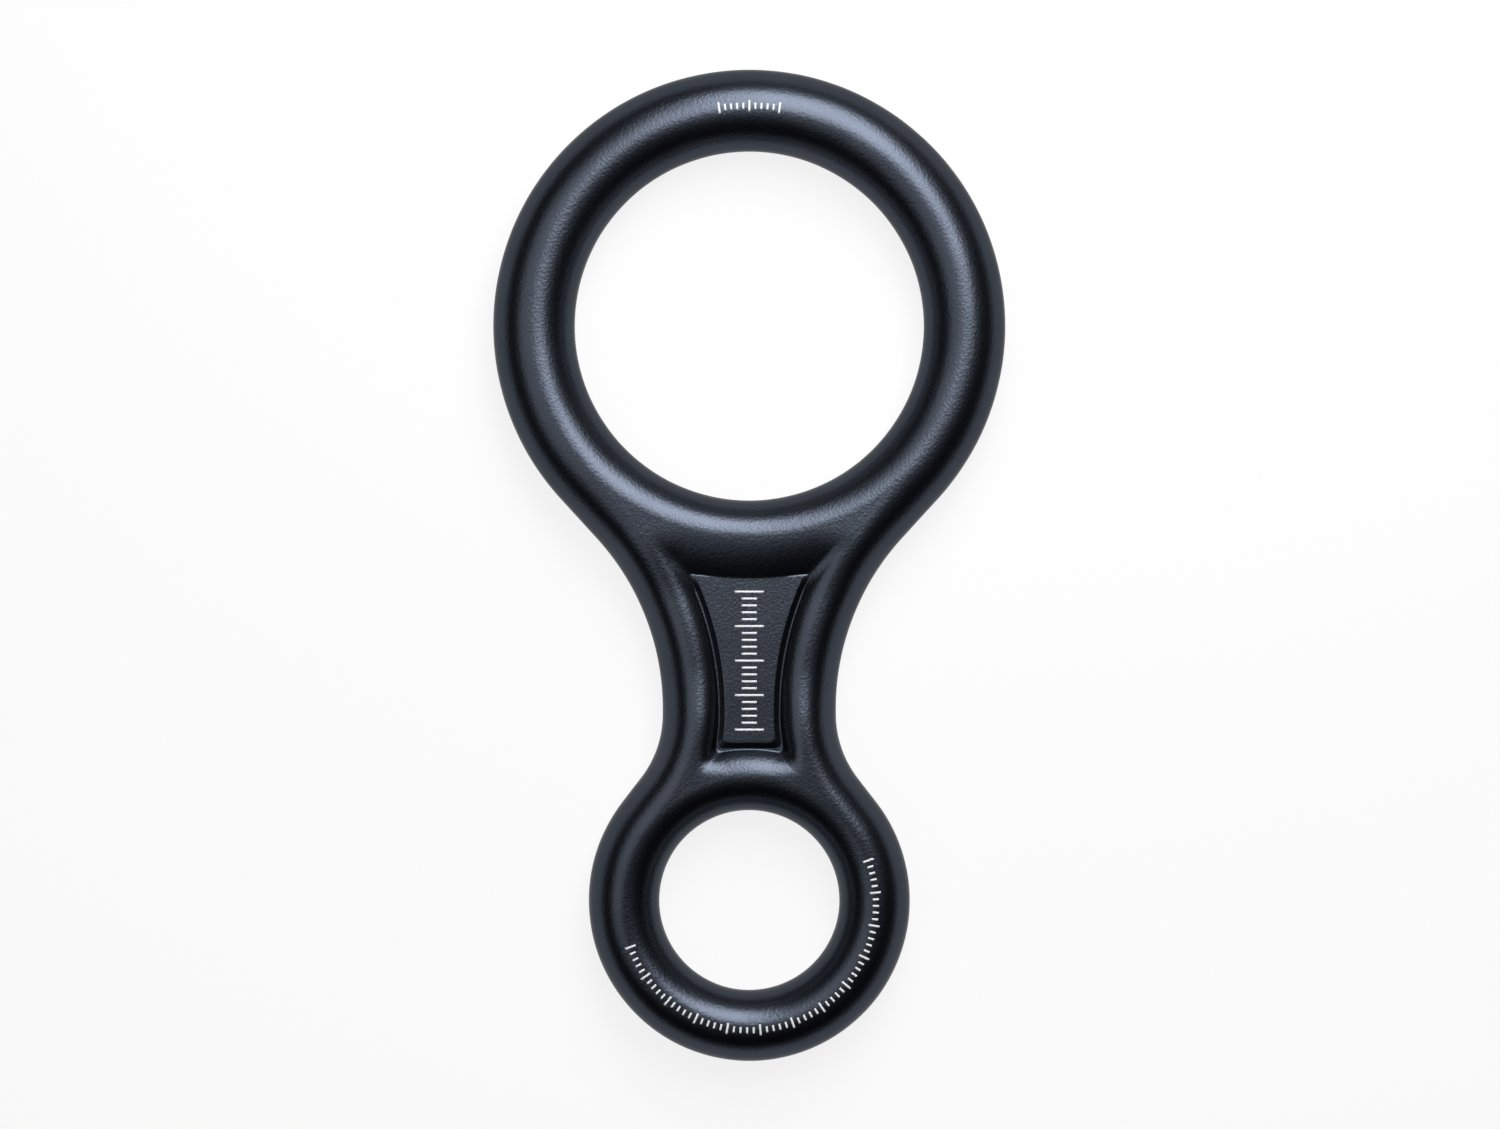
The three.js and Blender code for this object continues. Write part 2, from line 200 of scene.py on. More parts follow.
@dataclass(frozen=True)
class Flare:
    """Concave arc that leads from a ring's circle to the waist, on the +X side."""

    radius: float
    centre: Span
    leave_angle: float

    @classmethod
    def fitted(cls, ring: Ring, wanted: float, waist_half: float, end_y: float) -> "Flare":
        """Fit an arc that ends upright at the waist and touches a line off the ring.

        Args:
            ring: The ring that the flare leaves.
            wanted: The radius wanted, which the gap may limit.
            waist_half: Half of the waist's width.
            end_y: Y of the arc's end at the waist.

        Returns:
            The fitted flare.
        """
        drop = abs(ring.centre_y - end_y)
        spare = waist_half**2 + drop**2 - ring.outer_radius**2
        radius = min(wanted, spare / (2 * (ring.outer_radius - waist_half)))
        centre_x = waist_half + radius
        reach = math.hypot(centre_x, drop)
        lean = math.acos(min(1.0, (ring.outer_radius + radius) / reach))
        turn = math.atan2(centre_x, drop) + lean
        angle = DOWN + turn if ring.centre_y > end_y else UP - turn
        return cls(radius, (centre_x, end_y), angle)


@dataclass(frozen=True)
class Path:
    """A run of plan points with the inward normal at each, sampled by length."""

    points: Array
    inward: Array
    shares: Array
    length: float

    @classmethod
    def through(cls, points: Array) -> "Path":
        """Measure a fine polyline so that it can be sampled by share of its length.

        Args:
            points: The polyline's points, of shape (n, 2).

        Returns:
            The path along it.
        """
        step = np.linalg.norm(np.diff(points, axis=0), axis=1)
        length = float(step.sum())
        shares = np.concatenate([[0.0], np.cumsum(step)]) / length
        tangent = np.gradient(points, shares, axis=0)
        tangent /= np.linalg.norm(tangent, axis=1, keepdims=True)
        return cls(points, np.stack([tangent[:, 1], -tangent[:, 0]], axis=-1), shares, length)

    def inside(self, shares: Array, inset: Values) -> Array:
        """Points drawn in from the path, square to it.

        Args:
            shares: Shares of the path's length.
            inset: How far in each point lies, one each or one for all.

        Returns:
            Plan points of shape (n, 2).
        """
        def follow(values: Array) -> Array:
            """Read a column pair at the shares."""
            return np.stack(
                [np.interp(shares, self.shares, column) for column in values.T], axis=-1)

        inset = np.broadcast_to(np.asarray(inset, float), np.shape(shares))
        inward = follow(self.inward)
        inward /= np.linalg.norm(inward, axis=1, keepdims=True)
        return follow(self.points) + inward * inset[:, None]


@dataclass(frozen=True)
class Neck:
    """The waisted bar between the rings, with a rounded rib along each side."""

    big: Ring
    small: Ring
    waist_half: float = 12.65 * MM
    waist_length: float = 0.7 * MM
    waist_share: float = 0.82
    upper_radius: float = 37.0 * MM
    lower_radius: float = 15.4 * MM
    rib_half_thickness: float = 5.3 * MM
    rib_inset: float = 5.1 * MM
    rib_blend_share: float = 0.42
    height_hold_share: float = 0.22
    ring_power: float = 2.0
    rib_crown_power: float = 2.2
    rib_flank_power: float = 1.5
    root_shift: float = 0.75 * MM
    arc_steps: int = 400

    @property
    def waist_y(self) -> float:
        """Y of the neck's narrowest place."""
        top = self.big.centre_y - self.big.outer_radius
        gap = top - self.small.centre_y - self.small.outer_radius
        return top - gap * self.waist_share

    def flares(self) -> tuple[Flare, Flare]:
        """Fit the arcs under the big ring and over the small one.

        Returns:
            The upper and the lower flare.
        """
        half = self.waist_length / 2
        return (Flare.fitted(self.big, self.upper_radius, self.waist_half, self.waist_y + half),
                Flare.fitted(self.small, self.lower_radius, self.waist_half, self.waist_y - half))

    def outline(self) -> Path:
        """Trace the neck's edge on the +X side, from the big ring down.

        Returns:
            The edge.
        """
        upper, lower = self.flares()
        upper_arc = self._arc(upper, upper.leave_angle + math.pi, math.pi)
        lower_arc = self._arc(lower, math.pi, lower.leave_angle + math.pi)
        leave = on_circle(self.big.centre_y, self.big.outer_radius, upper.leave_angle)
        arrive = on_circle(self.small.centre_y, self.small.outer_radius, lower.leave_angle)
        points = np.concatenate([leave, upper_arc, lower_arc, arrive])
        apart = np.linalg.norm(np.diff(points, axis=0), axis=1) >= SAME_PLACE
        return Path.through(points[np.concatenate([[True], apart])])

    def _arc(self, flare: Flare, start: float, end: float) -> Array:
        """Fine points along a flare's arc.

        Args:
            flare: The flare.
            start: Angle of the first point, round the arc's centre.
            end: Angle of the last point.

        Returns:
            Plan points of shape (n, 2).
        """
        angles = np.linspace(start, end, self.arc_steps)
        x, y = flare.centre
        return np.stack(
            [x + flare.radius * np.cos(angles), y + flare.radius * np.sin(angles)], axis=-1)

    def big_root_radius(self, plan: Array) -> Array:
        """Radius of the big ring's crest at plan points: less where the ring faces the neck.

        Args:
            plan: Points of shape (..., 2).

        Returns:
            Radii of shape (...).
        """
        upper, _ = self.flares()
        turned = np.abs(np.arctan2(plan[..., 0], self.big.centre_y - plan[..., 1]))
        facing = 1.0 - smooth_step(turned, 0.0, upper.leave_angle - DOWN)
        return self.big.crest_radius - self.root_shift * facing

    def along(
            self, shares: Array, at_big: float, at_rib: float, at_small: float,
            held: float = 0.0) -> Array:
        """A value that passes from the big ring's through the rib's to the small ring's.

        Args:
            shares: Shares of the neck's length.
            at_big: The value at the big ring.
            at_rib: The value along the rib.
            at_small: The value at the small ring.
            held: Share of the length for which each ring's value holds.

        Returns:
            One value for each share.
        """
        leaving = smooth_step(shares, held, self.rib_blend_share)
        arriving = smooth_step(shares, 1.0 - self.rib_blend_share, 1.0 - held)
        return mix(mix(at_big, at_rib, leaving), at_small, arriving)

    def crest(self, outline: Path, shares: Array) -> tuple[Array, Array]:
        """The rib's top at shares of the neck's length.

        Args:
            outline: The neck's edge.
            shares: Shares of its length.

        Returns:
            Plan points of shape (n, 2) and heights over the mid-plane.
        """
        inset = self.along(shares, self.big.crest_inset, self.rib_inset, self.small.crest_inset)
        height = self.along(
            shares, self.big.half_thickness, self.rib_half_thickness, self.small.half_thickness,
            self.height_hold_share)
        return outline.inside(shares, inset), height

    def powers(self, shares: Array) -> tuple[Array, Array]:
        """Powers of the outer round's crown and flank at shares of the neck's length."""
        return tuple(
            self.along(shares, self.ring_power, power, self.ring_power)
            for power in (self.rib_crown_power, self.rib_flank_power))


@dataclass(frozen=True)
class Pocket:
    """The hollow in each face of the neck: walls that roll off the crests and run out in a foot."""

    neck: Neck
    rib_line: Array
    rib_heights: Array
    floor_height: float = 4.0 * MM
    rib_wall_run: float = 3.1 * MM
    big_wall_run: float = 7.1 * MM
    small_wall_run: float = 3.95 * MM
    foot_fillet: float = 0.12 * MM
    corner_blend: float = 0.4
    corner_start: float = 3.0 * MM
    corner_end: float = 7.5 * MM

    def wall_share(self, distance: Array, run: Array, full_drop: Array) -> Array:
        """What share of its height a wall still has at a distance from its crest.

        Args:
            distance: Distances in plan from the crest.
            run: How far from the crest the wall's foot ends.
            full_drop: Height of the crest over the floor.

        Returns:
            Shares from 1 at the crest to 0 at the floor.
        """
        held = np.clip(distance, 0.0, run)
        drop = np.minimum(full_drop, run)
        steepest = 2 * np.arctan2(drop, run)
        radii = run / np.sin(steepest)
        foot = np.minimum(self.foot_fillet, radii / 2)
        crown = radii - foot
        rolling = crown - np.sqrt(np.maximum(crown**2 - held**2, 0.0))
        landing = drop - foot + np.sqrt(np.maximum(foot**2 - (run - held) ** 2, 0.0))
        return 1.0 - np.where(held < crown * np.sin(steepest), rolling, landing) / drop

    def height(self, plan: Array) -> Array:
        """Height of the pocket's surface over the mid-plane.

        Args:
            plan: Plan points of shape (n, 2).

        Returns:
            One height for each point.
        """
        big, small = self.neck.big, self.neck.small
        ribs = [nearest_on_line(plan, self.rib_line * (side, 1.0), self.rib_heights)
                for side in (1.0, -1.0)]
        crests = np.stack(np.broadcast_arrays(
            big.half_thickness, small.half_thickness, *(rib[1] for rib in ribs)))
        reach = np.maximum([
            np.hypot(plan[:, 0], plan[:, 1] - big.centre_y) - self.neck.big_root_radius(plan),
            np.hypot(plan[:, 0], plan[:, 1] - small.centre_y) - small.crest_radius,
            *(rib[0] for rib in ribs)], 0.0)
        rib_run = self.rib_wall_run
        runs = np.array([self.big_wall_run, self.small_wall_run, rib_run, rib_run])
        ways = reach / runs[:, None]
        way = ways[0]
        for other in ways[1:]:
            overlap = np.maximum(self.corner_blend - np.abs(way - other), 0.0)
            way = np.minimum(way, other) - overlap**2 / (4 * self.corner_blend)
        weights = np.maximum(1.0 - (ways - ways.min(axis=0)) / self.corner_blend, 0.0) ** 2
        weights /= weights.sum(axis=0)
        run = (weights * runs[:, None]).sum(axis=0)
        crest_height = (weights * crests).sum(axis=0)
        drop = crest_height - self.floor_height
        open_share = 1.0 - self.wall_share(np.maximum(way, 0.0) * run, run, drop)
        for from_ring in reach[:2]:
            for from_rib in reach[2:]:
                open_share = open_share * smooth_step(
                    from_ring + from_rib, self.corner_start, self.corner_end)
        return crest_height - drop * open_share


@dataclass(frozen=True)
class Pad:
    """The flat pad raised in the pocket. Its top edge runs out against the big ring's wall."""

    pocket: Pocket
    outline: Path
    rise: float = 0.5 * MM
    bevel: float = 0.75 * MM
    gutter: float = 0.15 * MM
    top_run: float = 6.15 * MM
    top_bevel: float = 0.15 * MM
    top_arc_radius: float = 80.0 * MM
    top_corner: float = 0.7 * MM
    end_corner: float = 1.3 * MM
    foot_round: float = 0.14 * MM
    edge_round: float = 0.2 * MM
    round_steps: int = 4
    face_rows: int = 10
    search_steps: int = 2000

    @property
    def face_height(self) -> float:
        """Height of the pad's face over the mid-plane."""
        return self.pocket.floor_height + self.rise

    @property
    def top_y(self) -> float:
        """Y of the face's top edge on the body's middle line."""
        neck = self.pocket.neck
        return neck.big.centre_y - neck.big.crest_radius + neck.root_shift - self.top_run

    @property
    def end_y(self) -> float:
        """Y of the face's straight edge over the small ring."""
        return self._end_y(self.gutter + self.bevel)

    def _end_y(self, inset: float) -> float:
        """Y of a line across the pocket, an inset away from the foot of the small ring's wall."""
        small = self.pocket.neck.small
        return small.centre_y + small.crest_radius + self.pocket.small_wall_run + inset

    def ring(self, rise_share: float, steps: Sequence[int]) -> Array:
        """Half of the pad's outline, from the middle of its top round +X to that of its end.

        Args:
            rise_share: Share of the way up from the pad's foot to its face.
            steps: Steps along the top, its corner, the side, its corner and the end.

        Returns:
            Plan points of shape (n, 2).
        """
        inset = self.gutter + self.bevel * rise_share
        side_inset = self.pocket.neck.rib_inset + self.pocket.rib_wall_run + inset
        top_radius = self.top_arc_radius - self.top_bevel * (1.0 - rise_share)
        top_centre_y = self.top_y + self.top_arc_radius
        line = self.outline.inside(np.linspace(0.0, 1.0, self.search_steps), side_inset)
        away = np.hypot(line[:, 0], line[:, 1] - top_centre_y)
        side = Path.through(line[(away >= top_radius) & (line[:, 1] >= self._end_y(inset))])
        first, last = side.points[0], side.points[-1]
        length = abs(first[1] - last[1])
        top_angle = math.asin(first[0] / top_radius) - self.top_corner / top_radius
        top_angles = np.linspace(DOWN, DOWN + top_angle, steps[0] + 1)
        top = on_circle(top_centre_y, top_radius, top_angles)
        flank_shares = (self.top_corner / length, 1.0 - self.end_corner / length)
        flank = side.inside(np.linspace(*flank_shares, steps[2] + 1), 0.0)
        end_x = np.linspace(last[0] - self.end_corner, 0.0, steps[4] + 1)
        end = np.stack([end_x, np.full_like(end_x, last[1])], axis=-1)
        return np.concatenate([
            top, self._corner(top[-1], first, flank[0], steps[1])[1:-1],
            flank, self._corner(flank[-1], last, end[0], steps[3])[1:-1], end])

    @staticmethod
    def _corner(start: Array, tip: Array, end: Array, steps: int) -> Array:
        """A rounded corner between two points, drawn towards its tip."""
        u = np.linspace(0.0, 1.0, steps + 1)[:, None]
        return start * (1 - u) ** 2 + tip * (2 * u * (1 - u)) + end * u**2

    def profile(self) -> Array:
        """The pad's side, from its rounded foot to its rounded edge.

        Returns:
            Pairs of shares: of the bevel's run, and of the rise over the pocket.
        """
        slope = math.atan2(self.rise, self.bevel)
        turned = slope * np.arange(self.round_steps + 1) / self.round_steps
        run = (np.sin(turned) - math.tan(slope / 2)) / self.bevel
        unit = np.stack([run, (1.0 - np.cos(turned)) / self.rise], axis=-1)
        return np.concatenate([self.foot_round * unit, 1.0 - self.edge_round * unit[::-1]])


@dataclass
class Skin:
    """Grids of points for a quarter of the body, mirrored and welded into one closed mesh.

    Their heights are counted from the body's mid-plane.
    """

    mid_height: float
    grids: list[Array] = field(default_factory=list)

    def add(self, grid: Array) -> None:
        """Take a grid of points of shape (rows, columns, 3)."""
        self.grids.append(grid)

    def build(self, name: str) -> Piece:
        """Mirror the grids across both planes, weld them and make an object.

        Args:
            name: The object's name.

        Returns:
            The new object, linked into the scene.
        """
        bm = bmesh.new()
        for flip_x in (1.0, -1.0):
            for flip_z in (1.0, -1.0):
                for grid in self.grids:
                    add_grid(bm, grid * (flip_x, 1.0, flip_z) + (0.0, 0.0, self.mid_height))
        bmesh.ops.remove_doubles(bm, verts=bm.verts, dist=SAME_PLACE)
        bmesh.ops.dissolve_degenerate(bm, edges=bm.edges, dist=SAME_PLACE)
        bmesh.ops.recalc_face_normals(bm, faces=bm.faces)
        return object_from(bm, name)


def add_grid(bm: Mesh, grid: Array, turned: bool = False) -> list[list[Point]]:
    """Add a grid of points to a mesh as quads.

    Args:
        bm: The mesh that is being made.
        grid: Points of shape (rows, columns, 3).
        turned: Whether the quads face the other way.

    Returns:
        The mesh's own points, by row and column.
    """
    made = [[bm.verts.new(point) for point in row] for row in grid]
    for row, after in zip(made, made[1:]):
        for j in range(len(row) - 1):
            corners = (row[j], after[j], after[j + 1], row[j + 1])
            bm.faces.new(corners[::-1] if turned else corners)
    return made


def add_slab(bm: Mesh, top: Array, under: Array) -> None:
    """Add a closed slab between two grids of points of the same shape.

    Args:
        bm: The mesh that is being made.
        top: Points of shape (rows, columns, 3), whose columns run to the left of its rows' way.
        under: Points below them.
    """
    borders = []
    for grid, turned in ((top, False), (under, True)):
        made = add_grid(bm, grid, turned)
        first, last = ([row[column] for row in made] for column in (0, -1))
        borders.append(first + made[-1][1:-1] + last[::-1] + made[0][-2:0:-1])
    upper, lower = borders
    for i in range(len(upper)):
        bm.faces.new((upper[i], upper[i - 1], lower[i - 1], lower[i]))


def object_from(bm: Mesh, name: str) -> Piece:
    """Turn a finished mesh into a smooth-shaded object in the scene.

    Args:
        bm: The mesh, which is freed.
        name: The object's name.

    Returns:
        The linked object.
    """
    mesh = bpy.data.meshes.new(name)
    bm.to_mesh(mesh)
    bm.free()
    mesh.shade_smooth()
    made = bpy.data.objects.new(name, mesh)
    bpy.context.scene.collection.objects.link(made)
    return made


@dataclass(frozen=True)
class Sway:
    """The slow rise and fall of a forging's surface."""

    height: float = 0.02 * MM
    length: float = 6.0 * MM

    def at(self, points: Array) -> Array:
        """How far out the surface lies at points of shape (n, 3)."""
        waves = np.array([noise.noise(Vector(point / self.length)) for point in points])
        return waves * self.height


@dataclass(frozen=True)
class Crests:
    """The tops of the rib and of both rings round the pocket, on the +X side.

    Their points have the shape (n, 3), with heights over the mid-plane.
    """

    neck_shares: Array
    rib: Array
    big: Array
    small: Array


@dataclass
class ForgedBody:
    """The whole forging: rings, neck, pocket and pad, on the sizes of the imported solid."""

    small_outer_diameter: float = 46.9 * MM
    big_eye_diameter: float = 51.0 * MM
    small_eye_diameter: float = 26.3 * MM
    surface_step: float = 0.3 * MM
    fewest_steps: int = 2
    round_rows: int = 24
    pocket_rows: int = 44
    corner_reach: float = 7.0 * MM
    corner_rows: int = 10
    spine_share: float = 0.25
    rib_line_steps: int = 160

    def __post_init__(self) -> None:
        """Work out the rings, the neck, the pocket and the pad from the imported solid's box."""
        low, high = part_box(BODY_NODE)
        self.half_thickness = (high.z - low.z) / 2
        self.mid_height = (high.z + low.z) / 2
        outer = (high.x - low.x) / 2
        small_outer = self.small_outer_diameter / 2
        self.big = Ring(high.y - outer, outer, self.big_eye_diameter / 2, self.half_thickness)
        self.small = Ring(
            low.y + small_outer, small_outer, self.small_eye_diameter / 2, self.half_thickness)
        self.neck = Neck(self.big, self.small)
        self.outline = self.neck.outline()
        rib = self.neck.crest(self.outline, np.linspace(0.0, 1.0, self.rib_line_steps + 1))
        self.pocket = Pocket(self.neck, *rib)
        self.pad = Pad(self.pocket, self.outline)
        self.sway = Sway()

    def steps_for(self, length: float) -> int:
        """How many surface steps cover a length."""
        return max(self.fewest_steps, round(length / self.surface_step))

    def build(self) -> Piece:
        """Make the body's mesh.

        Returns:
            The body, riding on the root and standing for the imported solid.
        """
        skin = Skin(self.mid_height)
        crests = self._crests()
        self._add_rounds(skin, crests)
        self._add_pocket(skin, crests)
        body = skin.build("body")
        self._let_sway(body)
        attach(body, ROOT_BODY)
        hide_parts(BODY_NODE)
        return body

    def dress(self, body: Piece) -> None:
        """Give the body its finish."""
        body.data.materials.append(SatinAnodising().material())

    def _crests(self) -> Crests:
        """Work out the crests round the pocket.

        Returns:
            The crests, in steps of the surface.
        """
        upper, lower = self.neck.flares()
        neck_shares = np.linspace(0.0, 1.0, self.steps_for(self.outline.length) + 1)
        root = self._root(self.big, DOWN, upper.leave_angle)
        centre = (0.0, self.big.centre_y)
        shrunk = self.neck.big_root_radius(root) / self.big.crest_radius
        return Crests(
            neck_shares,
            rib=raised(*self.neck.crest(self.outline, neck_shares)),
            big=raised(centre + (root - centre) * shrunk[:, None], self.half_thickness),
            small=raised(self._root(self.small, lower.leave_angle, UP), self.half_thickness))

    def _root(self, ring: Ring, start: float, end: float) -> Array:
        """Points round a ring's crest where it faces the neck, on the +X side."""
        steps = self.steps_for(abs(end - start) * ring.crest_radius)
        return on_circle(ring.centre_y, ring.crest_radius, np.linspace(start, end, steps + 1))

    def _quarter_round(
            self, edge: Array, crest: Array, crest_height: Values, crown_power: Values,
            flank_power: Values) -> Array:
        """A quarter round from an edge on the mid-plane up to a crest.

        Args:
            edge: Plan points of the edge, of shape (n, 2).
            crest: Plan points of the crest, of shape (n, 2).
            crest_height: Heights of the crest over the mid-plane, one each or one for all.
            crown_power: 2 for an ellipse, and more for a flatter crest.
            flank_power: 2 for an ellipse, and less for a straighter side.

        Returns:
            A grid of points of shape (rows, n, 3).
        """
        swing = np.linspace(0.0, UP, self.round_rows + 1)[:, None]
        out = np.clip(np.cos(swing), 0.0, 1.0) ** (2 / crown_power)
        rise = np.sin(swing) ** (2 / flank_power)
        return raised(crest + (edge - crest) * out[..., None], rise * crest_height)

    def _add_rounds(self, skin: Skin, crests: Crests) -> None:
        """Add the rounds outside the crests and inside the two eyes.

        Args:
            skin: The skin that takes the grids.
            crests: The crests round the pocket.
        """
        upper, lower = self.neck.flares()
        bows = ((self.big, upper.leave_angle, UP), (self.small, DOWN, lower.leave_angle))
        for ring, start, end in bows:
            steps = self.steps_for((end - start) * ring.outer_radius)
            angles = np.linspace(start, end, steps + 1)
            edge = on_circle(ring.centre_y, ring.outer_radius, angles)
            crest = on_circle(ring.centre_y, ring.crest_radius, angles)
            self._add_ring_round(skin, ring, edge, crest)
            self._add_eye(skin, ring, crest)
        neck_edge = self.outline.inside(crests.neck_shares, 0.0)
        powers = self.neck.powers(crests.neck_shares)
        skin.add(self._quarter_round(neck_edge, crests.rib[:, :2], crests.rib[:, 2], *powers))
        self._add_eye(skin, self.big, crests.big[:, :2])
        self._add_eye(skin, self.small, crests.small[:, :2])

    def _add_ring_round(self, skin: Skin, ring: Ring, edge: Array, crest: Array) -> None:
        """Add the round between an edge and a stretch of a ring's crest."""
        power = self.neck.ring_power
        skin.add(self._quarter_round(edge, crest, ring.half_thickness, power, power))

    def _add_eye(self, skin: Skin, ring: Ring, crest: Array) -> None:
        """Add the round between a stretch of a ring's crest and its eye.

        Args:
            skin: The skin that takes the grid.
            ring: The ring round the eye.
            crest: Plan points of the crest, of shape (n, 2).
        """
        away = crest - (0.0, ring.centre_y)
        edge = crest + away * (ring.eye_radius / np.linalg.norm(away, axis=1, keepdims=True) - 1.0)
        self._add_ring_round(skin, ring, edge, crest)

    def _add_pocket(self, skin: Skin, crests: Crests) -> None:
        """Add the pocket's walls and floor, its narrow corners and the pad.

        Args:
            skin: The skin that takes the grids.
            crests: The crests round the pocket.
        """
        rungs = self.steps_for(self.corner_reach)
        rib, big, small = crests.rib, crests.big, crests.small
        top_edge = self._corner(skin, big[::-1][:rungs + 1], rib[:rungs + 1])
        bottom_edge = self._corner(skin, rib[::-1][:rungs + 1], small[:rungs + 1])
        runs = [big[:-rungs], top_edge, rib[rungs:-rungs], bottom_edge, small[rungs:]]
        steps = [len(run) - 1 for run in runs]
        edge = np.concatenate([run if i % 2 == 0 else run[1:-1] for i, run in enumerate(runs)])
        profile = self.pad.profile()
        foot = self.pad.ring(profile[0][0], steps)
        rows = np.linspace(0.0, 1.0, self.pocket_rows + 1)
        spokes = mix(edge[:, :2], foot, rows[:, None, None])
        heights = np.stack([self.pocket.height(row) for row in spokes])
        walls = raised(spokes, heights)
        walls[0] = edge
        skin.add(walls)
        self._add_pad(skin, profile, heights[-1], steps)

    def _corner(self, skin: Skin, before: Array, after: Array) -> Array:
        """Bridge the narrow corner between two crests with rungs from one to the other.

        Args:
            skin: The skin that takes the grid.
            before: Points of the one crest, leading away from the corner.
            after: Points of the other crest, leading away from the corner.

        Returns:
            Points along the last rung.
        """
        shares = np.linspace(0.0, 1.0, self.corner_rows + 1)
        plan = mix(before[:, None, :2], after[:, None, :2], shares[None, :, None])
        rungs = raised(plan, np.stack([self.pocket.height(row) for row in plan]))
        rungs[:, 0] = before
        rungs[:, -1] = after
        skin.add(rungs)
        return rungs[-1]

    def _add_pad(
            self, skin: Skin, profile: Array, foot_height: Array, steps: Sequence[int]) -> None:
        """Add the pad's rounded side and its flat face.

        Args:
            skin: The skin that takes the grids.
            profile: Shares of the bevel's run and of the rise, up the pad's side.
            foot_height: Heights of the pocket along the pad's foot.
            steps: Steps along the top, its corner, the side, its corner and the end.
        """
        face_height = self.pad.face_height
        rings = [
            raised(self.pad.ring(run, steps), mix(foot_height, face_height, rise))
            for run, rise in profile]
        skin.add(np.stack(rings))
        edge = rings[-1]
        turn = steps[0] + steps[1] // 2
        end = sum(steps[:3]) + steps[3] // 2
        along = np.clip((np.arange(len(edge)) - turn) / (end - turn), 0.0, 1.0)
        share = mix(self.spine_share, 1.0 - self.spine_share, along)
        spine = edge.copy()
        spine[:, 0] = 0.0
        spine[:, 1] = mix(edge[0, 1], edge[-1, 1], share)
        rows = np.linspace(0.0, 1.0, self.pad.face_rows + 1)[:, None, None]
        skin.add(mix(edge, spine, rows))

    def _let_sway(self, body: Piece) -> None:
        """Let the surface rise and fall a little, square to itself.

        Args:
            body: The body, whose mesh is moved.
        """
        mesh = body.data
        count = len(mesh.vertices)
        points = np.empty(count * 3)
        normals = np.empty(count * 3)
        mesh.vertices.foreach_get("co", points)
        mesh.vertices.foreach_get("normal", normals)
        points = points.reshape(-1, 3)
        points += normals.reshape(-1, 3) * self.sway.at(points)[:, None]
        mesh.vertices.foreach_set("co", points.ravel())
        mesh.update()


@dataclass(frozen=True)
class TickRow:
    """A row of short white strokes along a line on the surface."""

    count: int
    length: float = 0.9 * MM
    long_length: float = 1.6 * MM
    long_every: int = 5

    def lengths(self) -> Array:
        """The length of each stroke, counted from a long one."""
        turn = np.arange(self.count) % self.long_every
        return np.where(turn == 0, self.long_length, self.length)


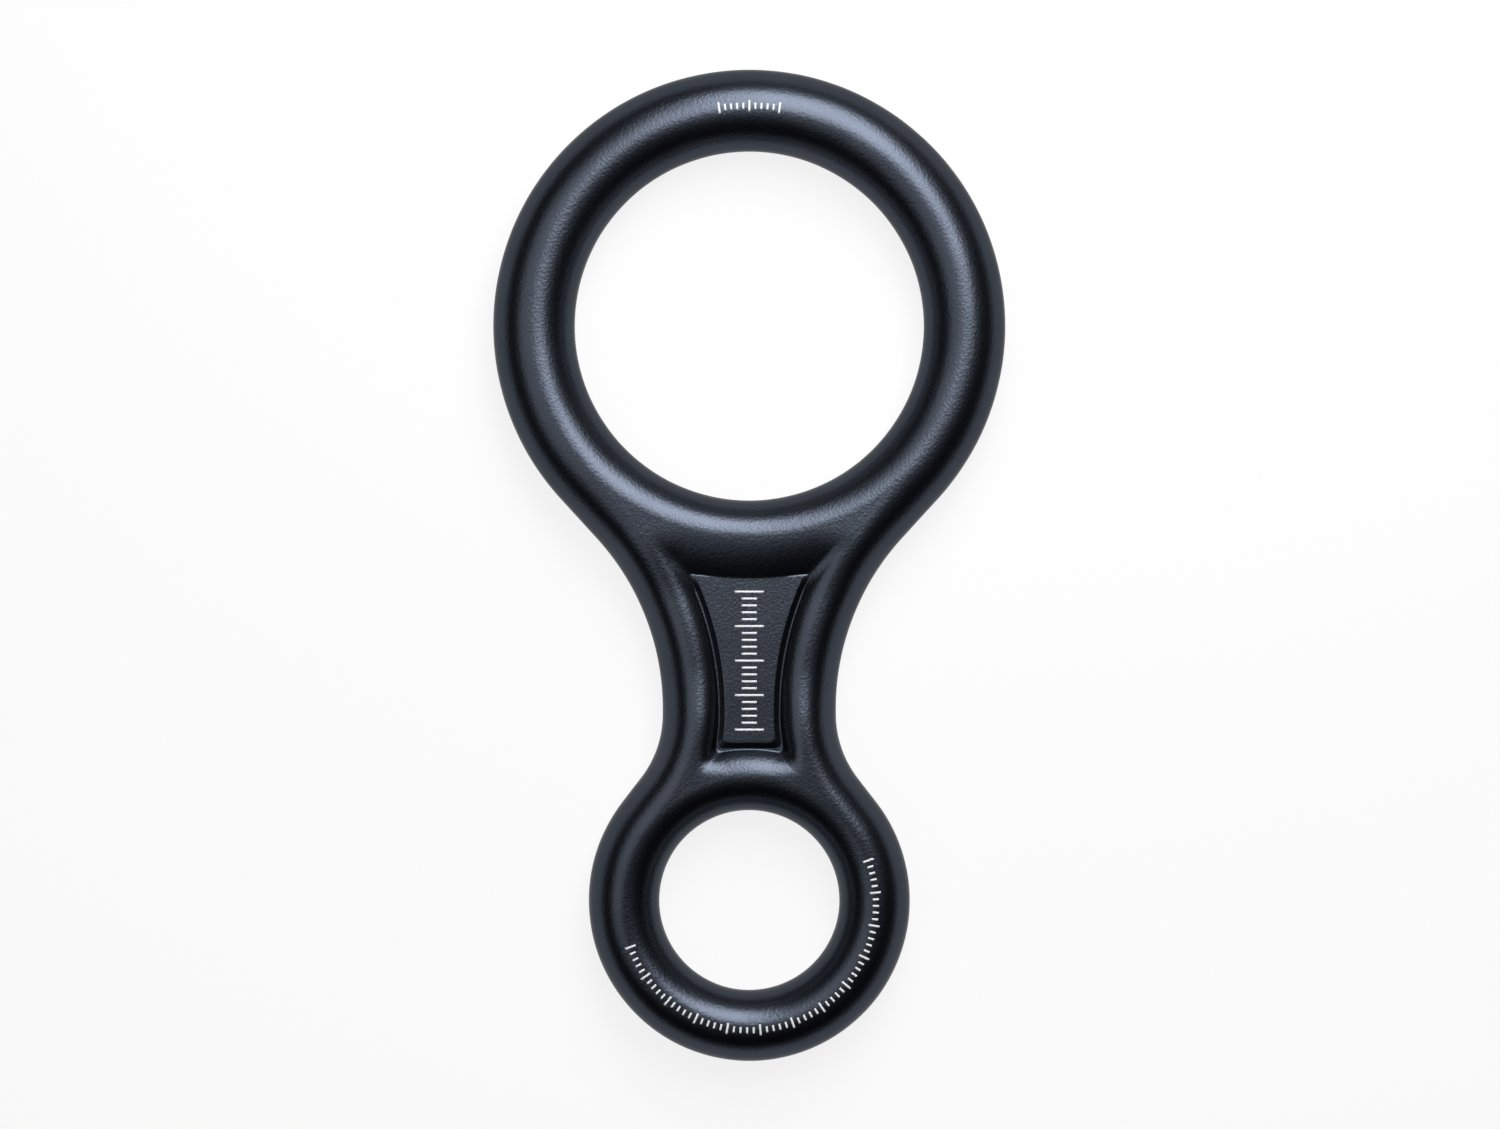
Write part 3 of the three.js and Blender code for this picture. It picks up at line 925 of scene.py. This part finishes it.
@dataclass
class WhiteMarks:
    """Plain white strokes printed on the front: a scale on the pad and a row on each ring."""

    body: ForgedBody
    film: float = 0.03 * MM
    bed: float = 0.03 * MM
    stroke: float = 0.3 * MM
    cells: int = 6
    pad_row: TickRow = TickRow(count=21, length=2.2 * MM, long_length=4.2 * MM)
    pad_pitch: float = 1.0 * MM
    big_row: TickRow = TickRow(count=11)
    big_spread: float = math.radians(16.0)
    small_row: TickRow = TickRow(count=61)
    small_start: float = math.radians(20.0)
    small_end: float = math.radians(-160.0)

    def build(self) -> list[Piece]:
        """Make the three groups of strokes.

        Returns:
            The three pieces, riding on the root.
        """
        big, small = self.body.big, self.body.small
        half = self.big_spread / 2
        made = [
            self._pad_scale(),
            self._ring_row("rope_eye_strokes", big, self.big_row, UP + half, UP - half),
            self._ring_row(
                "karabiner_eye_strokes", small, self.small_row, self.small_start, self.small_end)]
        for piece in made:
            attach(piece, ROOT_BODY)
        return made

    def dress(self, pieces: Sequence[Piece]) -> None:
        """Give the strokes their finish.

        Args:
            pieces: The groups of strokes.
        """
        printed = WhitePrint().material()
        for piece in pieces:
            piece.data.materials.append(printed)

    def _pad_scale(self) -> Piece:
        """Level strokes down the middle of the pad.

        Returns:
            The piece.
        """
        pad = self.body.pad
        middle = (pad.top_y + pad.end_y) / 2
        first = middle + self.pad_pitch * (self.pad_row.count - 1) / 2
        bm = bmesh.new()
        for i, length in enumerate(self.pad_row.lengths()):
            y = first - i * self.pad_pitch
            tip = np.array([length / 2, y])
            self._add_stroke(bm, tip * (-1.0, 1.0), tip)
        return object_from(bm, "pad_scale")

    def _ring_row(self, name: str, ring: Ring, row: TickRow, start: float, end: float) -> Piece:
        """Strokes that stand square to a ring's crest.

        Args:
            name: The piece's name.
            ring: The ring that carries them.
            row: How many strokes, and their lengths.
            start: Angle of the first stroke.
            end: Angle of the last one.

        Returns:
            The piece.
        """
        bm = bmesh.new()
        for angle, length in zip(np.linspace(start, end, row.count), row.lengths()):
            inner, outer = (
                on_circle(ring.centre_y, ring.crest_radius + side * length / 2, angle)[0]
                for side in (-1, 1))
            self._add_stroke(bm, inner, outer)
        return object_from(bm, name)

    def _height_at(self, plan: Array) -> Array:
        """Height over the floor of the surface under the strokes.

        Args:
            plan: Points of shape (..., 2).

        Returns:
            Heights of shape (...).
        """
        body = self.body
        height = np.full(plan.shape[:-1], body.pad.face_height)
        for ring in (body.big, body.small):
            away = np.hypot(plan[..., 0], plan[..., 1] - ring.centre_y)
            height = np.where(away < ring.outer_radius, ring.height_at(plan), height)
        points = raised(plan, body.mid_height + height)
        return points[..., 2] + body.sway.at(points.reshape(-1, 3)).reshape(height.shape)

    def _add_stroke(self, bm: Mesh, start: Array, end: Array) -> None:
        """Add one closed stroke that lies on the surface between two plan points.

        Args:
            bm: The mesh that is being made.
            start: The middle of the stroke's one end.
            end: The middle of its other end.
        """
        run = end - start
        side = np.array([-run[1], run[0]]) / np.linalg.norm(run) * self.stroke / 2
        along = np.linspace(0.0, 1.0, self.cells + 1)[:, None, None]
        across = np.array([-1.0, 0.0, 1.0])[None, :, None]
        plan = start + run * along + side * across
        height = self._height_at(plan)
        add_slab(bm, raised(plan, height + self.film), raised(plan, height - self.bed))


class NodeTree:
    """Short words for adding and linking shader nodes."""

    RANGE_SOCKETS = ("From Min", "From Max", "To Min", "To Max")

    def __init__(self, tree: bpy.types.NodeTree) -> None:
        """Start on a tree with nothing in it."""
        self.tree = tree
        tree.nodes.clear()

    @classmethod
    def of(cls, owner: "bpy.types.Material | bpy.types.World") -> "NodeTree":
        """Start the tree of a material or a world."""
        owner.use_nodes = True
        return cls(owner.node_tree)

    def add(self, kind: str, **settings: object) -> bpy.types.Node:
        """Add a node and set its own properties.

        Args:
            kind: Blender's name for the kind of node.
            **settings: The properties' names and values.

        Returns:
            The node.
        """
        node = self.tree.nodes.new(kind)
        for name, value in settings.items():
            setattr(node, name, value)
        return node

    def link(self, source: Socket, target: Socket) -> None:
        """Join an output to an input."""
        self.tree.links.new(source, target)

    def show(self, source: Socket, kind: str = "ShaderNodeOutputMaterial") -> None:
        """Make an output the one that shows."""
        self.link(source, self.add(kind).inputs["Surface"])

    def ramp(self, value: Socket, given: Span, wanted: Span) -> Socket:
        """Map a value from one range to another, held at both ends.

        Args:
            value: The value.
            given: The range that it comes in.
            wanted: The range that it is mapped to.

        Returns:
            The mapped value.
        """
        node = self.add("ShaderNodeMapRange")
        self.link(value, node.inputs["Value"])
        for name, number in zip(self.RANGE_SOCKETS, (*given, *wanted)):
            node.inputs[name].default_value = number
        return node.outputs["Result"]

    def maths(self, operation: str, first: Socket, second: "Socket | float") -> Socket:
        """Join two values.

        Args:
            operation: Blender's name for the operation.
            first: The first value.
            second: The second value, which may be a plain number.

        Returns:
            The result.
        """
        node = self.add("ShaderNodeMath", operation=operation)
        self.link(first, node.inputs[0])
        if isinstance(second, float):
            node.inputs[1].default_value = second
        else:
            self.link(second, node.inputs[1])
        return node.outputs["Value"]

    def noise(self, place: Socket, scale: Socket, detail: float) -> Socket:
        """A noise over the surface, from 0 to 1.

        Args:
            place: Where on the surface it is read.
            scale: Waves to a metre.
            detail: How many finer layers it has.

        Returns:
            The noise.
        """
        node = self.add("ShaderNodeTexNoise")
        node.inputs["Detail"].default_value = detail
        self.link(place, node.inputs["Vector"])
        self.link(scale, node.inputs["Scale"])
        return node.outputs["Fac"]

    def blend(self, share: Socket, low: Colour, high: Colour) -> Socket:
        """Blend two colours by a share that varies over the surface.

        Args:
            share: The share of the second colour.
            low: The first colour.
            high: The second colour.

        Returns:
            The blended colour.
        """
        node = self.add("ShaderNodeMix", data_type="RGBA")
        self.link(share, node.inputs["Factor"])
        colours = [socket for socket in node.inputs if socket.type == "RGBA"]
        for socket, colour in zip(colours, (low, high)):
            socket.default_value = (*colour, OPAQUE)
        return next(socket for socket in node.outputs if socket.type == "RGBA")

    def seen_rays(self) -> Socket:
        """Tell which rays show a surface: to the camera, off metal or through glass.

        Returns:
            1 on such rays and 0 on all others.
        """
        rays = self.add("ShaderNodeLightPath").outputs
        mirrored = self.maths("MAXIMUM", rays["Is Camera Ray"], rays["Is Glossy Ray"])
        return self.maths("MAXIMUM", mirrored, rays["Is Transmission Ray"])


class BlastedGrain:
    """Node group for the fine grain that blasting leaves under a thin finish."""

    NAME = "blasted_grain"
    GRAIN_DETAIL = 1.0
    CLOUD_DETAIL = 2.0
    FINE = 2.3
    PIT_SHARE = 0.08
    SPECKLE_RANGE = (0.35, 0.65)
    CLOUD_RANGE = (0.3, 0.7)

    @classmethod
    def group(cls) -> bpy.types.NodeTree:
        """The group, built at its first use."""
        found = bpy.data.node_groups.get(cls.NAME)
        return found if found else cls._build()

    @classmethod
    def _build(cls) -> bpy.types.NodeTree:
        """Build the group: dimples of two kinds, a finer speckle and a slow cloud.

        Returns:
            The group, with inputs Grain Scale and Cloud Scale.
        """
        tree = bpy.data.node_groups.new(cls.NAME, "ShaderNodeTree")
        face = tree.interface
        for name in ("Grain Scale", "Cloud Scale"):
            face.new_socket(name, in_out="INPUT", socket_type="NodeSocketFloat")
        for name in ("Height", Mask.SPECKLE.value, Mask.CLOUD.value):
            face.new_socket(name, in_out="OUTPUT", socket_type="NodeSocketFloat")
        nodes = NodeTree(tree)
        given = nodes.add("NodeGroupInput")
        result = nodes.add("NodeGroupOutput")
        place = nodes.add("ShaderNodeTexCoord").outputs["Object"]
        fine_scale = nodes.maths("MULTIPLY", given.outputs["Grain Scale"], cls.FINE)
        dimples = nodes.noise(place, given.outputs["Grain Scale"], cls.GRAIN_DETAIL)
        speckle = nodes.noise(place, fine_scale, cls.GRAIN_DETAIL)
        cloud = nodes.noise(place, given.outputs["Cloud Scale"], cls.CLOUD_DETAIL)
        pits = nodes.add("ShaderNodeTexVoronoi", feature="SMOOTH_F1")
        nodes.link(place, pits.inputs["Vector"])
        nodes.link(fine_scale, pits.inputs["Scale"])
        pitted = nodes.maths("MULTIPLY", pits.outputs["Distance"], cls.PIT_SHARE)
        nodes.link(nodes.maths("ADD", pitted, dimples), result.inputs["Height"])
        masks = (
            (Mask.SPECKLE, speckle, cls.SPECKLE_RANGE), (Mask.CLOUD, cloud, cls.CLOUD_RANGE))
        for mask, value, limits in masks:
            nodes.link(nodes.ramp(value, limits, WHOLE), result.inputs[mask.value])
        return tree


@dataclass(frozen=True)
class Grain:
    """How large and how deep a finish's blasted grain is."""

    size: float
    cloud_size: float
    depth: float
    strength: float

    def add_to(self, nodes: NodeTree, shader: bpy.types.Node) -> bpy.types.Node:
        """Place the grain in a material and let it raise the surface.

        Args:
            nodes: The material's tree.
            shader: The shader whose normal it drives.

        Returns:
            The group's node, for its masks.
        """
        grain = nodes.add("ShaderNodeGroup", node_tree=BlastedGrain.group())
        grain.inputs["Grain Scale"].default_value = 1.0 / self.size
        grain.inputs["Cloud Scale"].default_value = 1.0 / self.cloud_size
        bump = nodes.add("ShaderNodeBump")
        bump.inputs["Strength"].default_value = self.strength
        bump.inputs["Distance"].default_value = self.depth
        nodes.link(grain.outputs["Height"], bump.inputs["Height"])
        nodes.link(bump.outputs["Normal"], shader.inputs["Normal"])
        return grain


@dataclass(frozen=True)
class GrainedFinish:
    """A finish over the grained surface, between two colours and two roughnesses."""

    name: str
    colours: tuple[Colour, Colour]
    colour_mask: Mask
    roughnesses: Span
    roughness_mask: Mask
    grain: Grain
    metallic: float = 0.0
    edge_tint: Colour = (1.0, 1.0, 1.0)

    def material(self) -> bpy.types.Material:
        """Build the finish on one Principled shader.

        Returns:
            The new material.
        """
        made = bpy.data.materials.new(self.name)
        nodes = NodeTree.of(made)
        shader = nodes.add("ShaderNodeBsdfPrincipled")
        nodes.show(shader.outputs["BSDF"])
        shader.inputs["Metallic"].default_value = self.metallic
        shader.inputs["Specular Tint"].default_value = (*self.edge_tint, OPAQUE)
        masks = self.grain.add_to(nodes, shader).outputs
        colour = nodes.blend(masks[self.colour_mask.value], *self.colours)
        nodes.link(colour, shader.inputs["Base Color"])
        rough = nodes.ramp(masks[self.roughness_mask.value], WHOLE, self.roughnesses)
        nodes.link(rough, shader.inputs["Roughness"])
        return made


@dataclass(frozen=True)
class SatinAnodising(GrainedFinish):
    """Blue-black satin anodising over blasted aluminium."""

    name: str = "satin_anodising"
    colours: tuple[Colour, Colour] = ((0.050, 0.058, 0.075), (0.043, 0.050, 0.065))
    colour_mask: Mask = Mask.CLOUD
    roughnesses: Span = (0.30, 0.36)
    roughness_mask: Mask = Mask.SPECKLE
    grain: Grain = Grain(size=0.42 * MM, cloud_size=9.0 * MM, depth=0.028 * MM, strength=1.0)
    metallic: float = 1.0
    edge_tint: Colour = (0.6, 0.6, 0.6)


@dataclass(frozen=True)
class WhitePrint(GrainedFinish):
    """Matt white print on the grained surface."""

    name: str = "white_print"
    colours: tuple[Colour, Colour] = ((0.72, 0.74, 0.77), (0.84, 0.85, 0.86))
    colour_mask: Mask = Mask.SPECKLE
    roughnesses: Span = (0.5, 0.65)
    roughness_mask: Mask = Mask.CLOUD
    grain: Grain = Grain(size=0.5 * MM, cloud_size=4.0 * MM, depth=0.015 * MM, strength=0.6)


@dataclass(frozen=True)
class SoftLamp:
    """A soft box that faces the body's centre. Its place is counted from there."""

    name: str
    place: tuple[float, float, float]
    width: float
    length: float
    radiance: float

    def hang(self, height: float) -> None:
        """Hang the lamp over the floor.

        Args:
            height: Height of the body's centre.
        """
        lamp = bpy.data.lights.new(self.name, "AREA")
        lamp.shape = "RECTANGLE"
        lamp.size = self.width
        lamp.size_y = self.length
        lamp.energy = AREA_LAMP_FACTOR * self.width * self.length * self.radiance
        hung = bpy.data.objects.new(self.name, lamp)
        back = Vector(self.place).normalized()
        upward = (Vector((0.0, 1.0, 0.0)) - back * back.y).normalized()
        turned = Matrix((upward.cross(back), upward, back)).transposed()
        moved = Matrix.Translation(Vector(self.place) + Vector((0.0, 0.0, height)))
        hung.matrix_world = moved @ turned.to_4x4()
        hung.visible_camera = False
        bpy.context.scene.collection.objects.link(hung)


@dataclass(frozen=True)
class Studio:
    """Pale floor, soft lamps and the camera over the object."""

    photo_width_px: float = 1500.0
    photo_height_px: float = 1129.0
    body_centre_px: Span = (749.3, 565.3)
    body_length_px: float = 990.5
    lens_mm: float = 88.0
    clip_share: float = 0.01
    floor_radius: float = 3.0
    rim_height: float = 0.42
    rim_steps: int = 12
    floor_steps: int = 96
    paper: Colour = (0.80, 0.80, 0.80)
    paper_share: float = 0.15
    white_strength: float = 1.0
    room_strength: float = 0.015
    lamps: tuple[SoftLamp, ...] = (
        SoftLamp("key", (0.0642, 0.2120, 0.3212), width=0.2068, length=0.3200, radiance=7.6),
        SoftLamp("fill", (-0.3248, 0.0725, 0.7246), width=0.4918, length=0.7000, radiance=1.0))

    def build(self) -> None:
        """Set the colour management, the floor, the lamps and the camera."""
        low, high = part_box(BODY_NODE)
        bpy.context.scene.view_settings.view_transform = "Standard"
        self._floor()
        self._world()
        for lamp in self.lamps:
            lamp.hang((high.z + low.z) / 2)
        self._camera(low, high)

    def _camera(self, low: Vector, high: Vector) -> None:
        """Look straight down with the photograph's framing.

        Args:
            low: Lowest corner of the body's box.
            high: Highest corner of the body's box.
        """
        pixel = (high.y - low.y) / self.body_length_px
        lens = bpy.data.cameras.new("camera")
        lens.lens = self.lens_mm
        camera = bpy.data.objects.new("camera", lens)
        bpy.context.scene.collection.objects.link(camera)
        away = pixel * self.photo_width_px * self.lens_mm / lens.sensor_width
        off_x = (self.photo_width_px / 2 - self.body_centre_px[0]) * pixel
        off_y = (self.body_centre_px[1] - self.photo_height_px / 2) * pixel
        camera.location = (off_x, off_y, (high.z + low.z) / 2 + away)
        lens.clip_start = away * self.clip_share
        lens.clip_end = away / self.clip_share
        bpy.context.scene.camera = camera
        log.info("camera: %.3f m over the body", away)

    def _floor(self) -> None:
        """Lay the round floor under the body. Its far edge sweeps up into a low backdrop."""
        swing = np.linspace(0.0, UP, self.rim_steps + 1)
        radii = self.floor_radius - self.rim_height * (1.0 - np.sin(swing))
        heights = self.rim_height * (1.0 - np.cos(swing))
        turns = np.linspace(0.0, 2 * math.pi, self.floor_steps, endpoint=False)
        bm = bmesh.new()
        rings = [
            [bm.verts.new((*point, height)) for point in on_circle(0.0, radius, turns)]
            for radius, height in zip(radii, heights)]
        bm.faces.new(rings[0])
        for low, high in zip(rings, rings[1:]):
            for i in range(self.floor_steps):
                bm.faces.new((low[i], low[i - 1], high[i - 1], high[i]))
        floor = object_from(bm, "floor")
        floor.data.materials.append(self._white_paper())

    def _white_paper(self) -> bpy.types.Material:
        """Paper that lights the object as it is, and shows nearly white with a faint shadow.

        Returns:
            The material.
        """
        made = bpy.data.materials.new("white_paper")
        nodes = NodeTree.of(made)
        paper = nodes.add("ShaderNodeBsdfDiffuse")
        paper.inputs["Color"].default_value = (*self.paper, OPAQUE)
        white = nodes.add("ShaderNodeEmission")
        white.inputs["Strength"].default_value = self.white_strength
        blend = nodes.add("ShaderNodeMixShader")
        share = nodes.maths("MULTIPLY", nodes.seen_rays(), 1.0 - self.paper_share)
        sources = (share, paper.outputs["BSDF"], white.outputs["Emission"])
        for source, target in zip(sources, blend.inputs):
            nodes.link(source, target)
        nodes.show(blend.outputs["Shader"])
        return made

    def _world(self) -> None:
        """Light the room evenly and weakly."""
        world = bpy.data.worlds.new("room")
        nodes = NodeTree.of(world)
        room = nodes.add("ShaderNodeBackground")
        room.inputs["Strength"].default_value = self.room_strength
        nodes.show(room.outputs["Background"], "ShaderNodeOutputWorld")
        bpy.context.scene.world = world


def main() -> None:
    """Build the studio, the body and its marks, and report each piece."""
    logging.basicConfig(level=logging.INFO, format="%(name)s: %(message)s")
    Studio().build()
    forging = ForgedBody()
    body = forging.build()
    forging.dress(body)
    marks = WhiteMarks(forging)
    strokes = marks.build()
    marks.dress(strokes)
    for piece in (body, *strokes):
        log.info("%s: %d faces", piece.name, len(piece.data.polygons))


if __name__ == "__main__":
    main()
